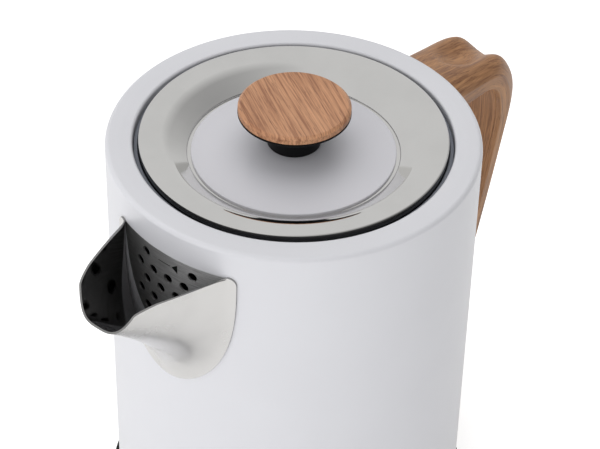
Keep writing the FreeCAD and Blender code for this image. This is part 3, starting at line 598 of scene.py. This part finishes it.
def make_level_mark():
    """A triangle that points to a short line, printed on the bare steel behind the spout."""
    drop = 17.0
    tip, base, half_height = 2.0, 4.6, 1.9
    line_from, line_to, half_line = -4.4, 1.2, 0.16
    r = BODY_R + 0.04
    vertices = []
    faces = []

    def patch(corners, columns):
        """Corners are four (arc, drop): left low, right low, right high, left high."""
        first = len(vertices)
        low_left, low_right, high_right, high_left = [Vector(c) for c in corners]
        for i in range(columns + 1):
            share = i / columns
            low = low_left.lerp(low_right, share)
            high = high_left.lerp(high_right, share)
            vertices.append(on_wall(low.x, low.y, r) * MM)
            vertices.append(on_wall(high.x, high.y, r) * MM)
        for i in range(columns):
            k = first + 2 * i
            faces.append([k, k + 2, k + 3, k + 1])

    patch([(tip, drop), (base, drop + half_height), (base, drop - half_height), (tip, drop - 0.05)], 4)
    patch([(line_from, drop + half_line), (line_to, drop + half_line), (line_to, drop - half_line),
           (line_from, drop - half_line)], 8)
    return new_object("level_mark", vertices, faces)


# ---------------------------------------------------------------- spout

LIP_REACH = 106.3
LIP_BACK = 6.1
LIP_HALF = 14.0
LIP_LOW = 22.7
LIP_RISE = 12.1
FLANGE_HALF = 28.6
FLANGE_TOP = 11.8
FLANGE_DROP = 58.2
FLANGE_CORNER = 3.0
EDGE_R = 0.22

# Each line of the sheet from the wall to the lip is a cubic curve. Its two control points are on shields too.
NEAR_HALF = 21.9
NEAR_DROP = 54.0
NEAR_SHARE = 0.72       # of the way from the flange's edge to the near shield
NEAR_MORE = 0.25        # and more at the spout's side edges
FAR_HALF = 26.2
FAR_DROP = 42.0
TIP_FROM = 0.93         # from here to the side edges the sheet stops short of the lip, for round corners
TIP_SHORT = 0.085


def shield_edge(s, half, top, drop, corner=0.0):
    """A point of the shield on the wall, for s from -1 to 1, its top corners rounded if corner is given."""
    turn = math.pi / 2 * abs(s)
    arc = half * math.sin(turn) ** 1.08
    below = drop * max(0.0, math.cos(turn)) ** 0.714
    if below < corner:
        arc -= corner - math.sqrt(corner ** 2 - (corner - below) ** 2)
    return on_wall(math.copysign(arc, s), top + below, BODY_R + SHEET)


def spout_lip(s):
    """A point of the lip's edge, for s from -1 to 1."""
    x = -(LIP_REACH - LIP_BACK * abs(s) ** 2.9)
    return Vector((x, -LIP_HALF * s, RIM - LIP_LOW + LIP_RISE * abs(s) ** 3.6))


def make_spout(outside, inside, rim, columns=160, steps=36):
    """One pressed sheet, like half a trumpet, that sweeps from the flange's edge on the wall to the lip."""
    vertices = []
    lines = []
    for i in range(columns + 1):
        s = math.sin(math.pi / 2 * (-1 + 2 * i / columns))
        edge = shield_edge(s, FLANGE_HALF, FLANGE_TOP, FLANGE_DROP, FLANGE_CORNER)
        lip = spout_lip(s)
        reach = 1.0
        if abs(s) > TIP_FROM:
            share = (abs(s) - TIP_FROM) / (1 - TIP_FROM)
            reach = 1 - TIP_SHORT * (1 - math.sqrt(1 - share ** 2))
        near = edge.lerp(shield_edge(s, NEAR_HALF, ROOT_TOP, NEAR_DROP), NEAR_SHARE + NEAR_MORE * abs(s) ** 8)
        far = shield_edge(s, FAR_HALF, ROOT_TOP, FAR_DROP)
        first = len(vertices)
        for k in range(steps + 1):
            t = reach * k / steps
            u = 1 - t
            point = edge * u ** 3 + near * 3 * t * u ** 2 + far * 3 * t * t * u + lip * t ** 3
            vertices.append(point * MM)
        lines.append(range(first, len(vertices)))
    faces = []
    for left, right in zip(lines, lines[1:]):
        for k in range(len(left) - 1):
            faces.append([left[k], right[k], right[k + 1], left[k + 1]])
    piece = new_object("pouring_spout", vertices, faces, SPOUT_SMOOTH)
    for made in (outside, inside, rim):
        piece.data.materials.append(made)
    solid = piece.modifiers.new("sheet", "SOLIDIFY")
    solid.thickness = SHEET * MM
    solid.offset = -1.0
    solid.use_even_offset = True
    solid.material_offset = 1
    solid.material_offset_rim = 2
    apply_modifiers(piece)
    round_edges(piece, EDGE_R, 50)
    shade(piece, SMOOTH)
    weighted_normals(piece)
    return piece


# ---------------------------------------------------------------- handle

# The handle's two faces in its middle plane, as (x, drop below the rim), from the upper arm to the foot.
INNER_FACE = [
    (60, 26.2), (72, 26.6), (88, 27.8), (98, 28.3), (104.3, 29.1), (109.3, 31.7), (112.8, 37.4), (114.5, 46),
    (112.8, 62), (108.5, 82.2), (103.7, 102.2), (98.2, 121), (91.7, 132.5), (84, 138.9), (77.5, 142),
    (70, 143.5), (60, 144),
]
OUTER_FACE = [
    (60, 10.4), (72, 12.3), (86.5, 14.7), (99, 17.2), (109.2, 18.9), (118.4, 21.4), (126.2, 29.2),
    (131.8, 39.1), (129.5, 59.4), (124.8, 79.6), (119.2, 99.8), (112.8, 119.7), (106.2, 136.6), (99.3, 152),
    (91.5, 162.2), (80, 166), (60, 166.5),
]
HANDLE_HALF = 16.3
HANDLE_FOOT_HALF = 14.6
HANDLE_WALL = 2.5
ARM_SIDE = 0.46                         # height of the sides, as a share of the thickness
ARM_SQUARE = 5.2                        # the outer face's arch is a power of the width
GRIP_SIDE = 0.3
GRIP_SQUARE = 3.0
ROUNDER = (45.0, 90.0, 150.0, 185.0)    # the grip's section comes in and goes out over these distances
SCOOP_HALF = 10.5
SCOOP_DEPTH = 4.6
SCOOP_FROM = 33.0
SCOOP_FULL = 42.0
SCOOP_TO = 72.0
GRIP_FROM = 60.0
GRIP_TO = 150.0
COVER_GAP = 0.1
COVER_T = 2.8
SECTION_SPACING = 1.6
CROWN_STEPS = 44
ROOF_STEPS = 12
SCREW_X = 79                            # the well for the upper screw's head
SCREW_DROP = 27.2
SCREW_WELL_R = 3.2
SLOT = ((87, -7.6, 31.5), (106, 7.6, 41.5))     # the paddle's opening


def spline(at, values):
    """A natural cubic spline through values at the given distances, as a function."""
    at = np.array(at, float)
    values = np.array(values, float)
    n = len(at)
    h = np.diff(at)
    left = np.eye(n)
    right = np.zeros((n, values.shape[1]))
    for i in range(1, n - 1):
        left[i, i - 1:i + 2] = h[i - 1], 2 * (h[i - 1] + h[i]), h[i]
        right[i] = 6 * ((values[i + 1] - values[i]) / h[i] - (values[i] - values[i - 1]) / h[i - 1])
    bend = np.linalg.solve(left, right)

    def read(t):
        i = int(np.clip(np.searchsorted(at, t) - 1, 0, n - 2))
        a = (at[i + 1] - t) / h[i]
        b = 1 - a
        curve = (a ** 3 - a) * bend[i] + (b ** 3 - b) * bend[i + 1]
        return a * values[i] + b * values[i + 1] + curve * h[i] ** 2 / 6

    return read


def handle_stations():
    """The distance along the handle's middle line of each point of its faces."""
    middles = [((a[0] + b[0]) / 2, (a[1] + b[1]) / 2) for a, b in zip(INNER_FACE, OUTER_FACE)]
    at = [0.0]
    for here, following in zip(middles, middles[1:]):
        at.append(at[-1] + math.dist(here, following))
    return at


STATION_AT = handle_stations()
INNER_CURVE = spline(STATION_AT, INNER_FACE)
OUTER_CURVE = spline(STATION_AT, OUTER_FACE)


def eased(t, t0, t1, a, b):
    """From a at t0 to b at t1, with a smooth start and end."""
    share = max(0.0, min(1.0, (t - t0) / (t1 - t0)))
    return a + (b - a) * share ** 2 * (3 - 2 * share)


def half_width(t):
    return eased(t, GRIP_FROM, GRIP_TO, HANDLE_HALF, HANDLE_FOOT_HALF)


def scoop(t, w):
    """Depth of the thumb rest at a distance along the handle and a distance from its middle plane."""
    if not SCOOP_FROM < t < SCOOP_TO:
        return 0.0
    share = (t - SCOOP_FROM) / (SCOOP_TO - SCOOP_FROM)
    deep = SCOOP_DEPTH * math.sin(math.pi * share ** 0.75) ** 1.3
    reach = min(1.0, (t - SCOOP_FROM) / (SCOOP_FULL - SCOOP_FROM))
    half = SCOOP_HALF * math.sqrt(reach * (2 - reach))
    if abs(w) >= half:
        return 0.0
    return deep * (1 - (abs(w) / half) ** 2) ** 2


def crown(t, w, thick):
    """Height of the outer face above the inner one at a distance from the middle plane."""
    rounder = eased(t, *ROUNDER[:2], 0.0, 1.0) - eased(t, *ROUNDER[2:], 0.0, 1.0)
    side = ARM_SIDE + (GRIP_SIDE - ARM_SIDE) * rounder
    arch = 1 - min(1.0, abs(w) / half_width(t)) ** (ARM_SQUARE + (GRIP_SQUARE - ARM_SQUARE) * rounder)
    return thick * (side + (1 - side) * arch) - scoop(t, w)


def section_frame(t):
    """The inner face's point, the unit direction to the outer face and the thickness, in millimetres."""
    start = INNER_CURVE(t)
    across = OUTER_CURVE(t) - start
    thick = float(np.hypot(*across))
    return start, across / thick, thick


def in_space(t, h, w):
    start, way, _ = section_frame(t)
    x, drop = start + way * h
    return Vector((x, w, RIM - drop))


def rounded_section(points, radii):
    """A closed section of (h, w) points, those with a radius rounded."""
    corners = [(p[0], p[1], r) if r else p for p, r in zip(points, radii)]
    return outline(corners, 20.0)


def shell_section(t):
    """Outer loop of the handle's outer half at t, as (h, w): side, crown, side and the open inner face."""
    _, _, thick = section_frame(t)
    half = half_width(t)
    side = crown(t, half, thick)
    widths = [half * math.sin(math.pi / 2 * (-1 + 2 * i / CROWN_STEPS)) for i in range(1, CROWN_STEPS)]
    loop = [(0.0, -half), (side, -half)]
    radii = [0.55, 0.6]
    for w in widths[1:-1]:
        loop.append((crown(t, w, thick), w))
        radii.append(0)
    loop += [(side, half), (0.0, half)]
    radii += [0.6, 0.55]
    inner = half - HANDLE_WALL
    inner_side = crown(t, inner, thick) - HANDLE_WALL
    loop += [(0.0, inner), (inner_side, inner)]
    radii += [0.25, 0]
    for i in range(1, ROOF_STEPS):
        w = inner * math.cos(math.pi * i / ROOF_STEPS)
        loop.append((crown(t, w, thick) - HANDLE_WALL, w))
        radii.append(0)
    loop += [(inner_side, -inner), (0.0, -inner)]
    radii += [0, 0.25]
    return rounded_section(loop, radii)


def cover_section(t):
    """Loop of the plate that closes the handle's inner face."""
    half = half_width(t) - HANDLE_WALL - COVER_GAP
    loop = [(0.0, half), (0.0, half * 0.5), (0.0, 0.0), (0.0, -half * 0.5), (0.0, -half), (COVER_T, -half),
            (COVER_T, half)]
    return rounded_section(loop, [0.3, 0, 0, 0, 0.3, 0, 0])


def handle_piece(name, section):
    """The solid through the sections, its ends left inside the jug's wall."""
    count = round(STATION_AT[-1] / SECTION_SPACING)
    vertices = []
    loops = []
    for i in range(count + 1):
        t = STATION_AT[-1] * i / count
        first = len(vertices)
        vertices += [in_space(t, h, w) * MM for h, w in section(t)]
        loops.append(range(first, len(vertices)))
    faces = []
    for a, b in zip(loops, loops[1:]):
        n = len(a)
        for k in range(n):
            j = (k + 1) % n
            faces.append([a[k], a[j], b[j], b[k]])
    faces.append(list(reversed(loops[0])))
    faces.append(list(loops[-1]))
    piece = new_object(name, vertices, faces)
    outward(piece)
    return piece


def wall_cutter():
    return rods("wall", [((0, 0, 0), (0, 0, RIM + 10))], BODY_R + 0.02, ROUND)


def write_grain(piece):
    """Gives each point of a handle piece its distance along the handle, across it and from the inner face."""
    table = np.linspace(0, STATION_AT[-1], 800)
    starts = []
    ways = []
    for t in table:
        start, way, _ = section_frame(t)
        starts.append(start)
        ways.append(way)
    starts = np.array(starts)
    ways = np.array(ways)
    points = np.zeros(len(piece.data.vertices) * 3)
    piece.data.vertices.foreach_get("co", points)
    points = points.reshape(-1, 3) / MM
    grain = np.zeros_like(points)
    for i, (x, y, z) in enumerate(points):
        away = np.array([x, RIM - z]) - starts
        height = (away * ways).sum(1)
        off = np.abs(away[:, 0] * ways[:, 1] - away[:, 1] * ways[:, 0])
        off = off + np.where(height < -1.5, 100.0, 0.0) + np.where(height > 30, 100.0, 0.0)
        k = int(off.argmin())
        grain[i] = table[k], y, height[k]
    data = piece.data.attributes.new("grain", "FLOAT_VECTOR", "POINT")
    data.data.foreach_set("vector", (grain * MM).astype(np.float32).ravel())


def make_handle_piece(name, section, tool):
    """A half of the handle, cut by the jug's wall and by a tool of its own."""
    piece = handle_piece(name, section)
    cut(piece, [wall_cutter(), tool])
    write_grain(piece)
    shade(piece, HANDLE_SMOOTH)
    weighted_normals(piece)
    return piece


# ---------------------------------------------------------------- build

enamel = make_enamel("white_enamel", ENAMEL)
white_disc = make_enamel("white_disc", (0.737, 0.731, 0.772, 1.0), 0.4)
ring_steel = make_polished("lid_steel", 0.80)
# Painted shade: a dark copy of the lid ring's polished steel, for its outer edge.
shaded_ring_edge = make_polished("lid_edge_painted_shade", 0.11)
spout_out = make_polished("spout_steel", 0.72, SPOUT_TINT, 0.22, swirl=False)
# Painted shade: the inside of the spout's sheet is the same polished steel as its outside, in a dark copy.
shaded_spout_in = make_polished("spout_inside", 0.28, SPOUT_IN_TINT, 0.09, swirl=False)
spout_rim = make_polished("spout_edge", 0.35, roughness=0.2, swirl=False)
brushed = make_brushed("brushed_steel", 0.5)
hardware = make_metal("hardware_steel", (0.5, 0.5, 0.5, 1.0), 0.3)
black = make_plastic("black_plastic", (0.005, 0.005, 0.0055, 1.0))
switch_black = make_plastic("switch_plastic", (0.018, 0.018, 0.02, 1.0), 0.35)
white_plastic = make_plastic("white_plastic", (0.68, 0.68, 0.67, 1.0), 0.4, light=1.05)
silicone = make_rubber("seal_silicone", (0.21, 0.225, 0.26, 1.0), 0.42)
rubber = make_rubber("foot_rubber", (0.02, 0.02, 0.02, 1.0), 0.7)
aluminium = make_metal("aluminium", (0.62, 0.63, 0.64, 1.0), 0.38)
brass = make_metal("brass", (0.68, 0.48, 0.2, 1.0), 0.28)
sleeve = make_rubber("wire_sleeve", (0.3, 0.3, 0.3, 1.0), 0.5)
mark_ink = make_plastic("mark_ink", (0.01, 0.01, 0.01, 1.0), 0.5)

knob_mat, knob_bsdf = new_material("knob_oak")
knob_grain = turned(knob_mat, place(knob_mat), (1.0, 1.0, 1.0), (0.0, 0.0, math.radians(-60.0)))
paint_wood(knob_mat, knob_bsdf, knob_grain, LIGHT_OAK, MIDDLE_OAK, DARK_OAK, 0.6)

grip_mat, grip_bsdf = new_material("handle_oak")
grip_grain = add(grip_mat, "Attribute", attribute_name="grain", attribute_type="GEOMETRY")["Vector"]
paint_wood(grip_mat, grip_bsdf, grip_grain, GRIP_LIGHT, GRIP_MIDDLE, GRIP_DARK, 0.45)

finish_piece(make_jug_shell(), "jug", "white_enamel", ["jug_body"], make_jug_paint(), brushed)
finish_piece(make_level_mark(), "jug", "black_plastic", [], mark_ink)
finish_piece(make_spout(spout_out, shaded_spout_in, spout_rim), "jug", "polished_steel", ["spout"])

handle_outer = make_handle_piece("handle_outer", shell_section, box_mesh("slot", *SLOT))
finish_piece(handle_outer, "jug", "wood_effect_handle", ["handle_shell"], grip_mat)
well = (SCREW_X, 0, RIM - SCREW_DROP - 3), (SCREW_X, 0, RIM - SCREW_DROP + 2)
handle_inner = make_handle_piece("handle_inner", cover_section, rods("recess", [well], SCREW_WELL_R))
finish_piece(handle_inner, "jug", "wood_effect_handle", ["handle_cover"], grip_mat)

# Lid: a ring that is nearly flat outside and falls steeply to its pan, which holds the white disc.
LID_R = 57.7
LID_SKIRT = RIM - 3.4           # lower end of the ring's outer edge
SHADED_EDGE_BAND = 0.12                # painted shade: the dark copy of the ring's steel on its outer edge begins this far inside LID_R
BEND_R = 48.6                   # the ring's bend on its upper face
UNDER_BEND_R = 48.4             # and on its lower one
BEND_ROUND = 11.0
DISC_R = 38.3
disc_edge = RIM - 5.9
pan_top = disc_edge - 0.9
pan_r = DISC_R + 1.3
edge = RIM + 0.5
lid_ring = lathe("lid_ring_polished", [
    (LID_R, LID_SKIRT), (LID_R, edge, 0.8), (LID_R - 1.7, edge - 0.15, 0.6), (BEND_R, edge - 0.5, BEND_ROUND),
    (pan_r, pan_top + 0.5, 1.0), (pan_r, pan_top), (2.3, pan_top), (2.3, pan_top - 0.8),
    (DISC_R + 0.7, pan_top - 0.8), (UNDER_BEND_R, edge - 1.35, BEND_ROUND), (LID_R - 1.7, edge - 0.95, 0.5),
    (LID_R - 0.8, edge - 0.9), (LID_R - 0.8, LID_SKIRT),
], step=5.0)
weighted_normals(lid_ring)
# Painted shade: the faces of the ring's outer edge take the dark copy of its steel.
for face in lid_ring.data.polygons:
    face.material_index = int(math.hypot(face.center.x, face.center.y) > (LID_R - SHADED_EDGE_BAND) * MM)
finish_piece(lid_ring, "lid", "polished_steel", ["lid_ring"], ring_steel, shaded_ring_edge)

stem_z = disc_edge + 3.5
disc = lathe("lid_centre", [
    (3, pan_top), (DISC_R, pan_top), (DISC_R, disc_edge, 0.4), (12.4, stem_z - 0.1, 30), (3, stem_z - 0.1),
], step=2.0)
weighted_normals(disc)
finish_piece(disc, "lid", "white_disc", ["lid_disc"], white_disc)

SEAL_IN = 54.65
SEAL_BAND_R = LID_R + 0.25
seal_top = RIM - 5.0
seal_low = RIM - 14.0 + 3.6
seal_tip = MOUTH_R - 0.3
seal = lathe("lid_gasket", [
    (SEAL_IN, seal_low), (56.6, seal_low), (seal_tip, seal_low + 0.9, 0.4), (seal_tip, seal_low + 1.8, 0.4),
    (57.2, (seal_top + seal_low) / 2, 0.8), (seal_tip, seal_top - 1.8, 0.4), (seal_tip, RIM - 2.9, 0.3),
    (SEAL_BAND_R, RIM - 2.5, 0.3), (SEAL_BAND_R, seal_top), (SEAL_IN, seal_top),
], step=15.0)
finish_piece(seal, "lid", "silicone", ["lid_seal"], silicone)

KNOB_R = 20.9
KNOB_FACETS = 192
under = RIM + 12.0
stem = lathe("knob_neck", [
    (0, stem_z), (10.0, stem_z, 0.6), (10.4, stem_z + 5, 6), (12.6, under - 3.6, 5),
    (KNOB_R + 0.1, under - 0.8, 0.3), (KNOB_R + 0.1, under, 0.12), (KNOB_R - 1, under), (0, under),
], KNOB_FACETS)
weighted_normals(stem)
finish_piece(stem, "lid", "black_plastic", ["knob_stem"], black)

cap_top = RIM + 15.0
cap = lathe("knob_wood", [
    (0, under), (KNOB_R - 0.15, under), (KNOB_R, under + 0.15), (KNOB_R, cap_top - 1.0, 0.3),
    (KNOB_R - 1.1, cap_top, 0.35), (0, cap_top),
], KNOB_FACETS)
weighted_normals(cap)
finish_piece(cap, "lid", "knob_wood", ["knob_cap"], knob_mat)

# Carried-over CAD nodes keep their shape and take a finish from their record slot.
FINISH = {
    "white_enamel": enamel, "white_disc": white_disc, "polished_steel": ring_steel, "brushed_steel": brushed,
    "hardware_steel": hardware, "wood_effect_handle": grip_mat, "knob_wood": knob_mat, "silicone": silicone,
    "black_plastic": black, "switch_plastic": switch_black, "white_plastic": white_plastic, "rubber": rubber,
    "wire_sleeve": sleeve, "aluminium": aluminium, "brass": brass,
}
for entry in frame["record"]["subparts"]:
    for holder in frame["nodes"][entry["node"]].material_slots:
        holder.material = FINISH[entry["material_slot"]]

# ---------------------------------------------------------------- floor, light and camera

TOP = 9.0                       # power of the light above
LEAD = 9.6                      # power of the light in front
SKY = 0.66
DIM_SKY = 0.13                  # the sky's strength on the dim side
DIM_AT = math.radians(70)       # the dim side, to the right of the camera's side
GLOW = 0.26                     # the floor's own light, on the kettle
SHOWN_GLOW = 0.6                # and as the camera sees it
FLOOR_HALF = 6

floor_mat, floor_bsdf = new_material("pale_floor", Roughness=0.9, Specular_IOR_Level=0.1)
seen = add(floor_mat, "LightPath")["Is Camera Ray"]
floor_glow = remap(floor_mat, seen, 0.0, 1.0, GLOW, SHOWN_GLOW, smooth=False)
link(floor_mat, floor_glow, floor_bsdf, "Emission Strength")
floor_bsdf.inputs["Base Color"].default_value = (0.86, 0.86, 0.86, 1.0)
floor_bsdf.inputs["Emission Color"].default_value = WHITE
floor_corners = [(-FLOOR_HALF, -FLOOR_HALF, 0), (FLOOR_HALF, -FLOOR_HALF, 0), (FLOOR_HALF, FLOOR_HALF, 0),
                 (-FLOOR_HALF, FLOOR_HALF, 0)]
floor = new_object("floor", floor_corners, [[0, 1, 2, 3]])
floor.data.materials.append(floor_mat)

CAMERA_AT = Vector((-0.5014977, -0.4075562, 0.6914956))
CAMERA_YAW = math.radians(-51.1641)
CAMERA_TILT = math.radians(50.1182)
CAMERA_ROLL = math.radians(1.3622)
FRONT = math.radians(-140.9)    # the direction from the jug towards the camera

camera_data = bpy.data.cameras.new("camera")
camera_data.lens = 132.067
camera_data.sensor_width = 36.0
camera = bpy.data.objects.new("camera", camera_data)
bpy.context.scene.collection.objects.link(camera)
aim = Matrix.Rotation(CAMERA_YAW, 4, "Z") @ Matrix.Rotation(CAMERA_TILT, 4, "X")
camera.matrix_world = Matrix.Translation(CAMERA_AT) @ (aim @ Matrix.Rotation(CAMERA_ROLL, 4, "Z"))
bpy.context.scene.camera = camera


def softbox(name, azimuth, elevation, distance, width, height, power):
    """A soft area light. Azimuth is measured from the camera's side, positive to its right."""
    data = bpy.data.lights.new(name, "AREA")
    data.shape = "RECTANGLE"
    data.size = width
    data.size_y = height
    data.energy = power
    lamp = bpy.data.objects.new(name, data)
    bpy.context.scene.collection.objects.link(lamp)
    turn = FRONT + math.radians(azimuth)
    rise = math.radians(elevation)
    way = Vector((math.cos(turn) * math.cos(rise), math.sin(turn) * math.cos(rise), math.sin(rise)))
    lamp.location = Vector((0, 0, 0.12)) + way * distance
    lamp.rotation_euler = way.to_track_quat("Z", "Y").to_euler()
    lamp.visible_camera = False
    lamp.visible_glossy = False


softbox("top", 180, 75, 1.8, 1.8, 1.8, TOP)
softbox("front", -25, 18, 2.0, 1.4, 1.2, LEAD)

# The world is plain white to the camera, and lights the kettle less from its dim side.
world = bpy.data.worlds.new("studio")
world.use_nodes = True
bpy.context.scene.world = world
sky = world.node_tree.nodes["Background"]
sky.inputs["Color"].default_value = WHITE
dim_way = (math.cos(FRONT + DIM_AT), math.sin(FRONT + DIM_AT), 0.0)
direction = add(world, "TexCoord")["Generated"]
dimness = add(world, "VectorMath", {0: direction, 1: dim_way}, operation="DOT_PRODUCT")["Value"]
link(world, remap(world, dimness, 0.0, 1.0, SKY, DIM_SKY, smooth=False), sky, "Strength")
backdrop = add(world, "Background", {"Color": WHITE})[0]
camera_ray = add(world, "LightPath")["Is Camera Ray"]
shown = add(world, "MixShader", {0: camera_ray, 1: sky.outputs[0], 2: backdrop})[0]
link(world, shown, world.node_tree.nodes["World Output"], "Surface")
